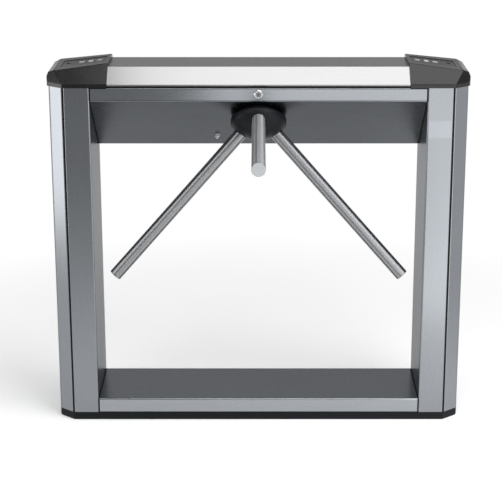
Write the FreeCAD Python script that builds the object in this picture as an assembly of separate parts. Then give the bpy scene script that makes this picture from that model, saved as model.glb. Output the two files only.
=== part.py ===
import FreeCAD, Part
import math
import os

# Box-shaped tripod turnstile: two sheet-metal posts on a plinth, joined by a low base and a top beam.
# The beam's inclined front panel carries a domed hub with three arms, and its lock mechanism lies inside.
# Millimetres. Origin on the floor at the middle of the base, +X along the body, -Y to the front, +Z up.

V = FreeCAD.Vector

# Body
BODY_LENGTH = 1100.0
BODY_DEPTH = 220.0
POST_WIDTH = 110.0
POST_HEIGHT = 934.0
NOSE_RUN = 41.0
NOSE_SETBACK = 32.5
NOSE_BEND = 14.0
SHEET = 1.5
FOLD = 2.5
EDGE_FOLD = 4.5
SEAM_GAP = 3.0
SEAM_RETURN = 14.0
SEAL_RECESS = 1.5
END_SEAL = 2.5

# Plinth, floor frame and base
PLINTH_HEIGHT = 23.0
PLINTH_WALL = 6.0
PLINTH_CHAMFER = 3.0
BASE_TOP = 63.0
BASE_HEM = 15.0
FOOT_PLATE = 6.0
FOOT_LENGTH = 96.0
FOOT_CLEARANCE = 1.0
RAIL_WIDTH = 30.0
RAIL_SPREAD = 130.0
RIB = 4.0
RIB_PITCH = 220.0
ANCHOR_INSET = 39.0
ANCHOR_SPREAD = 150.0
ANCHOR_HOLE = 14.0

# Columns inside the posts
COLUMN_WIDTH = 50.0
COLUMN_DEPTH = 80.0
COLUMN_WALL = 3.0
COLUMN_TOP_GAP = 8.0

# Top beam
FLANGE_HEIGHT = 36.0
HUB_TILT = 50.0
REAR_STRIP = 30.0
HOUSING_SHEET = 2.0
TOP_RETURN = 15.0
BRACKET = 4.0
BEAM_BOLT = 8.0
BEAM_BOLT_HEAD = 6.0
BEAM_BOLT_SPREAD = 50.0
BEAM_BOLT_RISE = 42.0
BEAM_BOLT_DROP = 22.0

# Lid and gasket
GASKET_HEIGHT = 4.0
GASKET_WIDTH = 14.0
GASKET_INSET = 1.0
LID_LENGTH = 788.0
LID_GAP = 0.5
LID_RISE = 44.5
LID_SKIRT = 4.0
LID_FLAT = 132.0
LID_HEM = 12.0
LID_FOLD = 4.0
LID_RIB_HEIGHT = 12.0
LID_RIB_PITCH = 260.0

# End caps
CAP_OVERHANG = 4.5
CAP_LIP = 10.0
CAP_HEIGHT = 57.5
CAP_FALL = 6.8
CAP_END_LIP = 23.5
CAP_END_LEAN = 22.0
CAP_END_RISE = 11.5
CAP_CREST_LEAN = 67.5
CAP_CORNER_LEAN = 18.0
CAP_WALL = 3.0
CAP_DECK = 7.0
CAP_EDGE = 4.0

# Indicators
INDICATOR_LENGTH = 118.0
INDICATOR_WIDTH = 84.0
INDICATOR_MARGIN = 9.0
INDICATOR_THICKNESS = 3.0
INDICATOR_SINK = 1.0
INDICATOR_LEDGE = 4.0
INDICATOR_CORNER = 5.0
WINDOW_LENGTH = 17.0
WINDOW_WIDTH = 34.0
WINDOW_PITCH = 24.0
WINDOW_FIRST = 18.0
WINDOW_CORNER = 2.5
WINDOW_FIT = 0.1
WINDOW_COUNT = 3
PORT_SIZE = 11.0
PORT_PLACE = 102.0
BOARD = 1.6
LED_HEIGHT = 5.0
LED_SIZE = 5.0
LED_SPREAD = 17.0
BOARD_POST = 8.0
BOARD_POST_SPREAD = 52.0
BOARD_FIT = 0.3

# Hub and arms; heights along the hub axis count outwards from the panel's face
HUB_SETBACK = 64.0
HUB_DIAMETER = 148.0
HUB_SIDE = 4.0
HUB_DOME = 43.0
HUB_SHOULDER = 24.0
HUB_SKIN = 3.0
HUB_GAP = 1.0
COLLAR_HEIGHT = 12.0
COLLAR_FOOT = 124.0
COLLAR_BORE = 88.0
CASTING_FLANGE = 4.0
CASTING_DIAMETER = 118.0
CASTING_SIDE = 11.0
CASTING_HEIGHT = 33.0
CASTING_FACE = 60.0
ARM_COUNT = 3
ARM_DIAMETER = 33.7
ARM_WALL = 2.0
ARM_LENGTH = 580.0
ARM_SEAT = 54.0
ARM_MEET = 8.0
ARM_FIT = 0.1
ARM_COVER_GAP = 0.6
ARM_DISC = 3.0
ARM_DISC_EDGE = 1.2
HUB_BOLT = 12.0
HUB_BOLT_HEAD = 7.5
HUB_BOLT_GRIP = 30.0
HUB_BOLT_BRIDGE = 10.0

# Bearing housing and shaft
PLATE = 6.0
PLATE_HALF_WIDTH = 150.0
PLATE_UP = 70.0
PLATE_DOWN = 98.0
PLATE_CORNER = 8.0
BEARING_BORE = 30.0
BEARING_OUTER = 62.0
BEARING_WIDTH = 16.0
BEARING_LIP = 4.0
HOUSING_WALL = 7.0
HOUSING_NOSE = 8.0
HOUSING_FLANGE = 116.0
HOUSING_FLANGE_THICKNESS = 10.0
HOUSING_REACH = 48.0
HOUSING_SHOULDER = 5.0
HOUSING_BOLT = 8.0
HOUSING_BOLT_CIRCLE = 97.0
HOUSING_BOLT_COUNT = 6
BOLT_HEAD_RATIO = 1.5
RUN_FIT = 0.05
SEAT_FIT = 0.02
BOLT_FIT = 0.3
NECK_FIT = 0.2
SHAFT_REAR = 28.0
SHAFT_HUB = 25.0
SHAFT_COLLAR = 36.0
SHAFT_COLLAR_GAP = 0.4

# Discs on the shaft, from the housing backwards
DISC_GAP = 4.0
RATCHET_DIAMETER = 112.0
RATCHET_THICKNESS = 6.0
NOTCH_COUNT = 12
NOTCH_WIDTH = 12.0
NOTCH_DEPTH = 10.0
DISC_BOSS = 40.0
ENCODER_BOSS = 6.5
ENCODER_DIAMETER = 92.0
ENCODER_THICKNESS = 1.5
ENCODER_SLOT_WIDTH = 4.0
ENCODER_SLOT_DEPTH = 9.0
GEAR_BOSS = 12.0
GEAR_THICKNESS = 10.0
GEAR_MODULE = 2.0
GEAR_TEETH = 40
PINION_TEETH = 20
PRESSURE_ANGLE = 20.0
BACKLASH = 0.5
GEAR_SPREAD = 0.15
NUT_THICKNESS = 6.0
NUT_SIZE = 41.0

# Rear plate and drive
REAR_PLATE = 5.0
REAR_PLATE_GAP = 2.0
REAR_PLATE_HALF_WIDTH = 88.0
REAR_PLATE_UP = 60.0
REAR_PLATE_DOWN = 100.0
PILLAR = 12.0
PILLAR_LOW_X = 38.0
PILLAR_LOW_Y = -88.0
PILLAR_HIGH_X = 76.0
PILLAR_HIGH_Y = 48.0
REAR_PLATE_EYE = 50.0
MOTOR_ANGLE = -45.0
MOTOR_DIAMETER = 52.0
MOTOR_LENGTH = 42.0
MOTOR_BOSS = 22.0
MOTOR_SHAFT = 10.0
MOTOR_BORE_DEPTH = 12.0
MOTOR_BORE_RELIEF = 1.5

# Pawls and solenoids
PAWL_PIVOT_X = 72.0
PAWL_PIVOT_Y = -40.0
PAWL_SWING = 12.0
PAWL_PIN = 10.0
PAWL_BOSS = 20.0
PAWL_BAR = 13.0
PAWL_BAR_CORNER = 5.8
PAWL_NOSE_WIDTH = 11.0
PAWL_NOSE_TIP = 4.0
PAWL_NOSE_GAP = 2.0
PAWL_TAIL = 30.0
PAWL_SLOT_LENGTH = 10.0
PAWL_SLOT_FIT = 0.4
PAWL_SLOT_CORNER = 3.0
PAWL_SIDE_GAP = 0.4
PIN_SHOULDER = 16.0
PIN_CLIP = 1.5
LINK_PIN = 6.0
FORK_CHEEK = 3.6
FORK_WIDTH = 12.0
FORK_GAP = 1.5
FORK_SIDE_GAP = 0.5
FORK_BRIDGE = 6.0
PLUNGER = 10.0
PLUNGER_REACH = 50.0
SOLENOID_LENGTH = 50.0
SOLENOID_SIZE = 32.0
SOLENOID_GAP = 12.0
SOLENOID_BORE_DEPTH = 44.0
SOLENOID_FOOT = 3.0

# Sensor beside the encoder
SENSOR_POST = 8.0
SENSOR_POST_X = 13.0
SENSOR_POST_Y = 63.5
SENSOR_BOARD_LENGTH = 40.0
SENSOR_BOARD_UP = 72.0
SENSOR_BOARD_DOWN = 53.0
SENSOR_FORK_WIDTH = 12.0
SENSOR_FORK_DOWN = 39.0
SENSOR_FORK_ROOT = 49.0
SENSOR_ROOT_UP = 64.0
SENSOR_FORK_GAP = 1.3
SENSOR_FORK_CHEEK = 1.7

# Electronics on the panel's inner face
BOARD_X = -270.0
BOARD_LENGTH = 150.0
BOARD_WIDTH = 100.0
BOARD_DROP = 30.0
STANDOFF = 8.0
STANDOFF_HEIGHT = 10.0
STANDOFF_INSET = 8.0
CHIP_LENGTH = 24.0
CHIP_HEIGHT = 4.0
RELAY_LENGTH = 19.0
RELAY_WIDTH = 15.0
RELAY_HEIGHT = 15.0
RELAY_COUNT = 4
RELAY_PITCH = 26.0
TERMINAL_LENGTH = 110.0
TERMINAL_WIDTH = 12.0
TERMINAL_HEIGHT = 14.0
TERMINAL_WAYS = 12
TERMINAL_HOLE = 4.0
SUPPLY_X = 270.0
SUPPLY_LENGTH = 130.0
SUPPLY_WIDTH = 90.0
SUPPLY_HEIGHT = 38.0
SUPPLY_DROP = 30.0
SUPPLY_SLOTS = 9
SUPPLY_SLOT_PITCH = 11.0
SUPPLY_SLOT_WIDTH = 4.0
SUPPLY_SLOT_LENGTH = 60.0
SUPPLY_SLOT_DEPTH = 5.0

# Release lock on the flange
LOCK_DROP = 17.5
LOCK_BEZEL = 24.0
LOCK_BEZEL_DEPTH = 3.0
LOCK_BODY = 19.0
LOCK_BODY_LENGTH = 26.0
LOCK_NUT = 26.0
LOCK_NUT_THICKNESS = 5.0
LOCK_PLUG = 14.0
LOCK_PLUG_SINK = 1.4
LOCK_KEYWAY = 2.4
LOCK_KEYWAY_LENGTH = 8.0
LOCK_KEYWAY_DEPTH = 12.0
LOCK_CAM = 2.5
LOCK_CAM_WIDTH = 10.0
LOCK_CAM_LENGTH = 20.0
LOCK_CAM_GAP = 0.4
LOCK_CAM_CORNER = 2.5

# Earth stud on the inclined panel
STUD_X = -112.0
STUD_DOWN = 108.0
STUD = 6.0
STUD_HEIGHT = 11.0
STUD_TAIL = 10.0
STUD_WASHER = 13.0
STUD_WASHER_THICKNESS = 1.5
STUD_NUT = 10.0
STUD_NUT_THICKNESS = 5.0
STUD_FIT = 0.1

# Places that follow from the sizes above
FRONT = -BODY_DEPTH / 2
REAR = BODY_DEPTH / 2
CLEAR_HALF = BODY_LENGTH / 2 - POST_WIDTH
SHEET_END = CLEAR_HALF - END_SEAL
NOSE_X = BODY_LENGTH / 2
FACE_X = NOSE_X - NOSE_RUN
SLOPE = math.tan(math.radians(90 - HUB_TILT))
FLANGE_LOW = POST_HEIGHT - FLANGE_HEIGHT
PANEL_END_Y = REAR - REAR_STRIP
PANEL_END_Z = FLANGE_LOW - (PANEL_END_Y - FRONT) * SLOPE
HUB_POINT = V(0, FRONT + HUB_SETBACK, FLANGE_LOW - HUB_SETBACK * SLOPE)
HUB_FRAME = FreeCAD.Placement(HUB_POINT, FreeCAD.Rotation(V(1, 0, 0), 90 + HUB_TILT))
LID_LOW = POST_HEIGHT + GASKET_HEIGHT
CAP_X = LID_LENGTH / 2 + LID_GAP
CAP_TOP = POST_HEIGHT + CAP_HEIGHT
COLUMN_X = CLEAR_HALF + SHEET
PANEL_BACK = -HOUSING_SHEET
PLATE_BACK = PANEL_BACK - PLATE
HUB_LOW = COLLAR_HEIGHT + HUB_GAP
DOME_LOW = HUB_LOW + HUB_SIDE
FLANGE_BACK = PLATE_BACK - HOUSING_FLANGE_THICKNESS
RATCHET_FRONT = -HOUSING_REACH - DISC_GAP
RATCHET_BACK = RATCHET_FRONT - RATCHET_THICKNESS
ENCODER_FRONT = RATCHET_BACK - ENCODER_BOSS
ENCODER_BACK = ENCODER_FRONT - ENCODER_THICKNESS
GEAR_FRONT = ENCODER_BACK - GEAR_BOSS
GEAR_BACK = GEAR_FRONT - GEAR_THICKNESS
SHAFT_END = GEAR_BACK - NUT_THICKNESS
REAR_PLATE_FRONT = SHAFT_END - REAR_PLATE_GAP
REAR_PLATE_BACK = REAR_PLATE_FRONT - REAR_PLATE
PAWL_TAIL_Y = PAWL_PIVOT_Y - PAWL_TAIL
SOLENOID_X = PAWL_PIVOT_X + PAWL_BAR / 2 + FORK_GAP + FORK_BRIDGE + SOLENOID_GAP
PAWL_MIDDLE = (RATCHET_FRONT + RATCHET_BACK) / 2
LOCK_Z = POST_HEIGHT - LOCK_DROP

parts = {}


def offset_points(points, distance, closed):
    """Points moved to the left of their path by a distance, with mitred corners."""
    count = len(points)
    sides = count if closed else count - 1
    normals = []
    for i in range(sides):
        run = points[(i + 1) % count] - points[i]
        run.normalize()
        normals.append(V(-run.y, run.x, 0))
    moved = []
    for i in range(count):
        if closed:
            before, after = normals[i - 1], normals[i]
        else:
            before, after = normals[max(i - 1, 0)], normals[min(i, sides - 1)]
        mitre = before + after
        moved.append(points[i] + mitre * (distance * 2 / mitre.dot(mitre)))
    return moved


def rounded_edges(points, radii, closed):
    """Lines through the points, with an arc of the given radius at each corner that has one."""
    count = len(points)
    starts, ends, arcs = list(points), list(points), []
    for i in range(count):
        if radii[i] <= 0 or (not closed and i in (0, count - 1)):
            continue
        back = points[i - 1] - points[i]
        ahead = points[(i + 1) % count] - points[i]
        back.normalize()
        ahead.normalize()
        half = back.getAngle(ahead) / 2
        inward = back + ahead
        inward.normalize()
        reach = radii[i] / math.tan(half)
        starts[i] = points[i] + back * reach
        ends[i] = points[i] + ahead * reach
        middle = points[i] + inward * (radii[i] / math.sin(half) - radii[i])
        arcs.append(Part.Arc(starts[i], middle, ends[i]).toShape())
    lines = []
    for i in range(count if closed else count - 1):
        follow = (i + 1) % count
        lines.append(Part.makeLine(ends[i], starts[follow]))
    return lines + arcs


def face_of(edges):
    return Part.Face(Part.Wire(Part.__sortEdges__(edges)))


def outline(points, radius=0.0):
    """Face inside a closed outline whose corners are rounded alike."""
    return face_of(rounded_edges(points, [radius] * len(points), True))


def sheet_face(path, thickness, radii):
    """Section of a folded sheet: its outer side is the path, its inner side lies to the path's left."""
    inner = offset_points(path, thickness, False)
    inner_radii = [max(radius - abs(thickness), 0.0) for radius in radii]
    edges = rounded_edges(path, radii, False) + rounded_edges(inner, inner_radii, False)
    edges.append(Part.makeLine(path[0], inner[0]))
    edges.append(Part.makeLine(path[-1], inner[-1]))
    return face_of(edges)


def prism(face, low, high):
    """Face in the XY plane, extruded from one height to another."""
    solid = face.extrude(V(0, 0, high - low))
    solid.translate(V(0, 0, low))
    return solid


def placed(shape, placement):
    return shape.transformed(placement.toMatrix(), True)


def across(face, low, high):
    """Face drawn with X as world Y and Y as world Z, extruded along world X."""
    turn = FreeCAD.Placement(V(0, 0, 0), FreeCAD.Rotation(V(1, 1, 1), 120))
    return placed(prism(face, low, high), turn)


def in_hub(shape):
    """Shape drawn about the hub axis: X across, Y up the panel, Z outwards."""
    return placed(shape, HUB_FRAME)


def mirrored(shape):
    return shape.mirror(V(0, 0, 0), V(1, 0, 0))


def box(x0, x1, y0, y1, z0, z1):
    return Part.makeBox(x1 - x0, y1 - y0, z1 - z0, V(x0, y0, z0))


def rod(diameter, low, high, x=0.0, y=0.0):
    return Part.makeCylinder(diameter / 2, high - low, V(x, y, low))


def sleeve(outer, inner, low, high, x=0.0, y=0.0):
    return rod(outer, low, high, x, y).cut(rod(inner, low, high, x, y))


def hexagon(size, low, high, x=0.0, y=0.0):
    """Hexagonal prism, given its size across the flats."""
    radius = size / math.sqrt(3)
    spots = [V(x + radius * math.cos(math.radians(60 * i)), y + radius * math.sin(math.radians(60 * i)), 0)
             for i in range(6)]
    return prism(outline(spots), low, high)


def rectangle(x0, x1, y0, y1):
    return [V(x0, y0, 0), V(x1, y0, 0), V(x1, y1, 0), V(x0, y1, 0)]


def joined(shapes):
    return shapes[0].multiFuse(shapes[1:]).removeSplitter()


def both_sides(name, shape):
    parts["right_" + name] = shape
    parts["left_" + name] = mirrored(shape)


def body_plan(grow=0.0):
    """Outline of the whole body seen from above, moved outwards by a distance."""
    points = [V(FACE_X, FRONT, 0), V(NOSE_X, FRONT + NOSE_SETBACK, 0),
              V(NOSE_X, REAR - NOSE_SETBACK, 0), V(FACE_X, REAR, 0),
              V(-FACE_X, REAR, 0), V(-NOSE_X, REAR - NOSE_SETBACK, 0),
              V(-NOSE_X, FRONT + NOSE_SETBACK, 0), V(-FACE_X, FRONT, 0)]
    return offset_points(points, -grow, True)


def plan_face(grow=0.0):
    nose = NOSE_BEND + grow
    return face_of(rounded_edges(body_plan(grow), [0, nose, nose, 0, 0, nose, nose, 0], True))


def build_plinth():
    """Black skirt round the foot of the body, chamfered where it meets the floor."""
    block = prism(plan_face(), 0, PLINTH_HEIGHT)
    rim = [edge for edge in block.Edges if edge.BoundBox.ZMax < PLINTH_HEIGHT / 2]
    block = block.makeChamfer(PLINTH_CHAMFER, rim)
    parts["base_plinth"] = block.cut(prism(plan_face(-PLINTH_WALL), 0, PLINTH_HEIGHT))


def build_floor_frame():
    """Welded steel frame: two foot plates with anchor holes, two rails and ribs under the base."""
    foot_end = FACE_X + NOSE_RUN / 2
    half = REAR - PLINTH_WALL - FOOT_CLEARANCE
    pieces = []
    for side in (1, -1):
        inner, outer = side * (foot_end - FOOT_LENGTH), side * foot_end
        plate = box(min(inner, outer), max(inner, outer), -half, half, 0, FOOT_PLATE)
        plate = plate.common(prism(plan_face(-PLINTH_WALL - FOOT_CLEARANCE), 0, FOOT_PLATE))
        for row in (1, -1):
            hole = rod(ANCHOR_HOLE, 0, FOOT_PLATE, side * (FACE_X - ANCHOR_INSET), row * ANCHOR_SPREAD / 2)
            plate = plate.cut(hole)
        pieces.append(plate)
    rail_end = foot_end - FOOT_LENGTH
    for row in (1, -1):
        middle = row * RAIL_SPREAD / 2
        rail = box(-rail_end, rail_end, middle - RAIL_WIDTH / 2, middle + RAIL_WIDTH / 2, 0, PLINTH_HEIGHT)
        pieces.append(rail)
    for i in (-1, 0, 1):
        x = i * RIB_PITCH
        rib_half = REAR - SHEET - BASE_HEM
        pieces.append(box(x - RIB / 2, x + RIB / 2, -rib_half, rib_half, PLINTH_HEIGHT, BASE_TOP - SHEET))
    parts["floor_frame"] = joined(pieces)


def base_sheet():
    """Section of the base cover: folded over the base, hemmed inwards where it stands on the plinth."""
    path = [V(FRONT + BASE_HEM, PLINTH_HEIGHT, 0), V(FRONT, PLINTH_HEIGHT, 0), V(FRONT, BASE_TOP, 0),
            V(REAR, BASE_TOP, 0), V(REAR, PLINTH_HEIGHT, 0), V(REAR - BASE_HEM, PLINTH_HEIGHT, 0)]
    return sheet_face(path, -SHEET, [0, FOLD, EDGE_FOLD, EDGE_FOLD, FOLD, 0])


def build_base_cover():
    parts["base_cover"] = across(base_sheet(), -SHEET_END, SHEET_END)


def build_posts():
    """Each post: a steel column, a wrap round the front, inner side and back, and an end cover."""
    wrap_x = FACE_X - SEAM_GAP / 2
    wrap = [V(wrap_x, FRONT + SEAM_RETURN, 0), V(wrap_x, FRONT, 0), V(CLEAR_HALF, FRONT, 0),
            V(CLEAR_HALF, REAR, 0), V(wrap_x, REAR, 0), V(wrap_x, REAR - SEAM_RETURN, 0)]
    wrap_face = sheet_face(wrap, -SHEET, [0, FOLD, EDGE_FOLD, EDGE_FOLD, FOLD, 0])
    holes = [beam_bolt_rod(BEAM_BOLT + BOLT_FIT, spot) for spot in beam_bolt_spots()]
    both_sides("post_wrap", prism(wrap_face, PLINTH_HEIGHT, POST_HEIGHT).cut(holes))

    cover_x = FACE_X + SEAM_GAP / 2
    edge_y = FRONT + SEAM_GAP / 2 * NOSE_SETBACK / NOSE_RUN
    cover = [V(cover_x, edge_y + SEAM_RETURN, 0), V(cover_x, edge_y, 0), V(NOSE_X, FRONT + NOSE_SETBACK, 0),
             V(NOSE_X, REAR - NOSE_SETBACK, 0), V(cover_x, -edge_y, 0), V(cover_x, -edge_y - SEAM_RETURN, 0)]
    cover_face = sheet_face(cover, SHEET, [0, FOLD, NOSE_BEND, NOSE_BEND, FOLD, 0])
    both_sides("post_end_cover", prism(cover_face, PLINTH_HEIGHT, POST_HEIGHT))

    column = box(COLUMN_X, COLUMN_X + COLUMN_WIDTH, -COLUMN_DEPTH / 2, COLUMN_DEPTH / 2,
                 FOOT_PLATE, POST_HEIGHT - COLUMN_TOP_GAP)
    bore = box(COLUMN_X + COLUMN_WALL, COLUMN_X + COLUMN_WIDTH - COLUMN_WALL,
               COLUMN_WALL - COLUMN_DEPTH / 2, COLUMN_DEPTH / 2 - COLUMN_WALL, FOOT_PLATE, POST_HEIGHT)
    both_sides("post_column", column.cut(bore).cut(holes))


def beam_bolt_spots():
    """Places of the bolts between a beam bracket and its column, as (y, z)."""
    top = POST_HEIGHT - BEAM_BOLT_DROP
    return [(y, z) for y in (-BEAM_BOLT_SPREAD / 2, BEAM_BOLT_SPREAD / 2) for z in (top, top - BEAM_BOLT_RISE)]


def beam_bolt_rod(diameter, spot):
    start = V(CLEAR_HALF - BRACKET, spot[0], spot[1])
    grip = BRACKET + SHEET + COLUMN_WALL + BEAM_BOLT_HEAD
    return Part.makeCylinder(diameter / 2, grip, start, V(1, 0, 0))


def beam_section(inset):
    """Outline of the beam's trough, moved inwards by a distance."""
    points = [V(FRONT, POST_HEIGHT, 0), V(FRONT, FLANGE_LOW, 0), V(PANEL_END_Y, PANEL_END_Z, 0),
              V(REAR, PANEL_END_Z, 0), V(REAR, POST_HEIGHT, 0)]
    return offset_points(points, inset, True)


def trough_sheet():
    """Section of the beam's folded trough."""
    path = [V(FRONT + TOP_RETURN, POST_HEIGHT, 0)] + beam_section(0) + [V(REAR - TOP_RETURN, POST_HEIGHT, 0)]
    return sheet_face(path, HOUSING_SHEET, [0] + [EDGE_FOLD] * (len(path) - 2) + [0])


def build_seals():
    """Black strips in the seams of the posts, and edgings at the ends of the base cover and the trough."""
    strips = [across(base_sheet(), SHEET_END, CLEAR_HALF), across(trough_sheet(), SHEET_END, CLEAR_HALF)]
    for low in (FRONT + SEAL_RECESS, REAR - SEAM_RETURN):
        high = low + SEAM_RETURN - SEAL_RECESS
        strips.append(box(FACE_X - SEAM_GAP / 2, FACE_X + SEAM_GAP / 2, low, high, PLINTH_HEIGHT, POST_HEIGHT))
    parts["post_seals"] = Part.makeCompound(strips + [mirrored(strip) for strip in strips])


def build_beam():
    """Trough between the posts, with the brackets that hang it on the columns."""
    housing = across(trough_sheet(), -SHEET_END, SHEET_END)
    neck = BEARING_OUTER + 2 * HOUSING_WALL + 2 * NECK_FIT
    lock_hole = Part.makeCylinder(LOCK_BODY / 2 + BOLT_FIT, HOUSING_SHEET, V(0, FRONT, LOCK_Z), V(0, 1, 0))
    stud_hole = rod(STUD + 2 * STUD_FIT, PANEL_BACK, 0, STUD_X, -STUD_DOWN)
    openings = [in_hub(rod(neck, PANEL_BACK, 0)), lock_hole, in_hub(stud_hole)]
    parts["top_housing"] = housing.cut(openings)

    bracket_points = beam_section(HOUSING_SHEET)
    bracket = across(outline(bracket_points, EDGE_FOLD), CLEAR_HALF - BRACKET, CLEAR_HALF)
    bracket = bracket.cut([beam_bolt_rod(BEAM_BOLT + BOLT_FIT, spot) for spot in beam_bolt_spots()])
    both_sides("beam_bracket", bracket)

    bolts = []
    turn = FreeCAD.Rotation(V(0, 1, 0), 90)
    for spot in beam_bolt_spots():
        head = placed(hexagon(BEAM_BOLT * BOLT_HEAD_RATIO, -BEAM_BOLT_HEAD, 0),
                      FreeCAD.Placement(V(CLEAR_HALF - BRACKET, spot[0], spot[1]), turn))
        nut_x = COLUMN_X + COLUMN_WALL
        nut = placed(hexagon(BEAM_BOLT * BOLT_HEAD_RATIO, 0, BEAM_BOLT_HEAD),
                     FreeCAD.Placement(V(nut_x, spot[0], spot[1]), turn))
        bolts.append(joined([beam_bolt_rod(BEAM_BOLT, spot), head, nut]))
    parts["beam_bolts"] = Part.makeCompound(bolts + [mirrored(bolt) for bolt in bolts])


def build_lid():
    """Lift-off lid with sloping sides, closed at its ends, on a rubber gasket."""
    half_flat = LID_FLAT / 2
    lid_top = LID_LOW + LID_RISE
    skirt_top = LID_LOW + LID_SKIRT
    rim = [V(FRONT, LID_LOW, 0), V(FRONT, skirt_top, 0), V(-half_flat, lid_top, 0),
           V(half_flat, lid_top, 0), V(REAR, skirt_top, 0), V(REAR, LID_LOW, 0)]
    path = [V(FRONT + LID_HEM, LID_LOW, 0)] + rim + [V(REAR - LID_HEM, LID_LOW, 0)]
    section = sheet_face(path, -SHEET, [0, FOLD, FOLD, LID_FOLD, LID_FOLD, FOLD, FOLD, 0])
    lid = across(section, -LID_LENGTH / 2, LID_LENGTH / 2)
    inside = offset_points(rim, -SHEET, True)
    pieces = [lid]
    for side in (1, -1):
        ends = sorted((side * LID_LENGTH / 2, side * (LID_LENGTH / 2 - SHEET)))
        pieces.append(across(outline(inside), ends[0], ends[1]))
    parts["top_cover"] = joined(pieces)

    ribs = []
    under = lid_top - SHEET
    for side in (1, -1):
        middle = side * LID_RIB_PITCH / 2
        path = [V(middle - LID_RIB_HEIGHT, -LID_RIB_HEIGHT, 0), V(middle - LID_RIB_HEIGHT, 0, 0),
                V(middle + LID_RIB_HEIGHT, 0, 0), V(middle + LID_RIB_HEIGHT, -LID_RIB_HEIGHT, 0)]
        rib_half = half_flat - LID_FOLD
        channel = prism(sheet_face(path, -SHEET, [0, FOLD, FOLD, 0]), -rib_half, rib_half)
        stand = FreeCAD.Placement(V(0, 0, under), FreeCAD.Rotation(V(1, 0, 0), 90))
        ribs.append(placed(channel, stand))
    parts["cover_stiffeners"] = Part.makeCompound(ribs)

    half_length = LID_LENGTH / 2 - GASKET_INSET
    half_depth = REAR - GASKET_INSET
    outer = outline(rectangle(-half_length, half_length, -half_depth, half_depth))
    inner = outline(rectangle(GASKET_WIDTH - half_length, half_length - GASKET_WIDTH,
                              GASKET_WIDTH - half_depth, half_depth - GASKET_WIDTH))
    loop = prism(outer, POST_HEIGHT, LID_LOW).cut(prism(inner, POST_HEIGHT, LID_LOW))
    parts["cover_gasket"] = loop


def beyond(point, normal):
    """Large block on the outer side of a plane."""
    size = BODY_LENGTH
    block = box(-size, size, -size, size, 0, size)
    return placed(block, FreeCAD.Placement(point, FreeCAD.Rotation(V(0, 0, 1), normal)))


def cap_form(inset, deck_inset):
    """Faceted end cap of the right post, with each face moved inwards."""
    grow = CAP_OVERHANG - inset
    form = prism(plan_face(grow), POST_HEIGHT, CAP_TOP)
    form = form.common(box(CAP_X + inset, BODY_LENGTH, -BODY_DEPTH, BODY_DEPTH, POST_HEIGHT, CAP_TOP))
    fall = math.radians(CAP_FALL)
    planes = [(V(CAP_X, 0, CAP_TOP), V(math.sin(fall), 0, math.cos(fall)), deck_inset)]
    rise = LID_RISE / (REAR - LID_FLAT / 2)
    lip_z = POST_HEIGHT + CAP_LIP
    for side in (1, -1):
        slope = V(0, side * rise, 1)
        planes.append((V(0, side * (REAR + CAP_OVERHANG), lip_z), slope, inset))
        corner = V(NOSE_SETBACK, side * NOSE_RUN, 0)
        corner.normalize()
        foot = V(FACE_X, side * REAR, lip_z) + corner * CAP_OVERHANG
        lean = math.radians(CAP_CORNER_LEAN)
        planes.append((foot, corner * math.cos(lean) + V(0, 0, math.sin(lean)), inset))
    end = V(NOSE_X + CAP_OVERHANG, 0, POST_HEIGHT + CAP_END_LIP)
    crest = end + V(-CAP_END_RISE * math.tan(math.radians(CAP_END_LEAN)), 0, CAP_END_RISE)
    for point, degrees in ((end, CAP_END_LEAN), (crest, CAP_CREST_LEAN)):
        lean = math.radians(degrees)
        planes.append((point, V(math.cos(lean), 0, math.sin(lean)), inset))
    for point, normal, depth in planes:
        normal.normalize()
        form = form.cut(beyond(point - normal * depth, normal))
    return form


def deck_frame():
    """Placement on the cap's sloping deck: X runs outwards down the deck, Z stands square to it."""
    return FreeCAD.Placement(V(CAP_X, 0, CAP_TOP), FreeCAD.Rotation(V(0, 1, 0), CAP_FALL))


def on_deck(shape):
    return placed(shape, deck_frame())


def deck_rectangle(margin):
    start = INDICATOR_MARGIN - margin
    half = INDICATOR_WIDTH / 2 + margin
    return rectangle(start, INDICATOR_MARGIN + INDICATOR_LENGTH + margin, -half, half)


def window_face(i, clearance):
    start = INDICATOR_MARGIN + WINDOW_FIRST + i * WINDOW_PITCH - WINDOW_LENGTH / 2 - clearance
    half = WINDOW_WIDTH / 2 + clearance
    return outline(rectangle(start, start + WINDOW_LENGTH + 2 * clearance, -half, half), WINDOW_CORNER)


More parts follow.
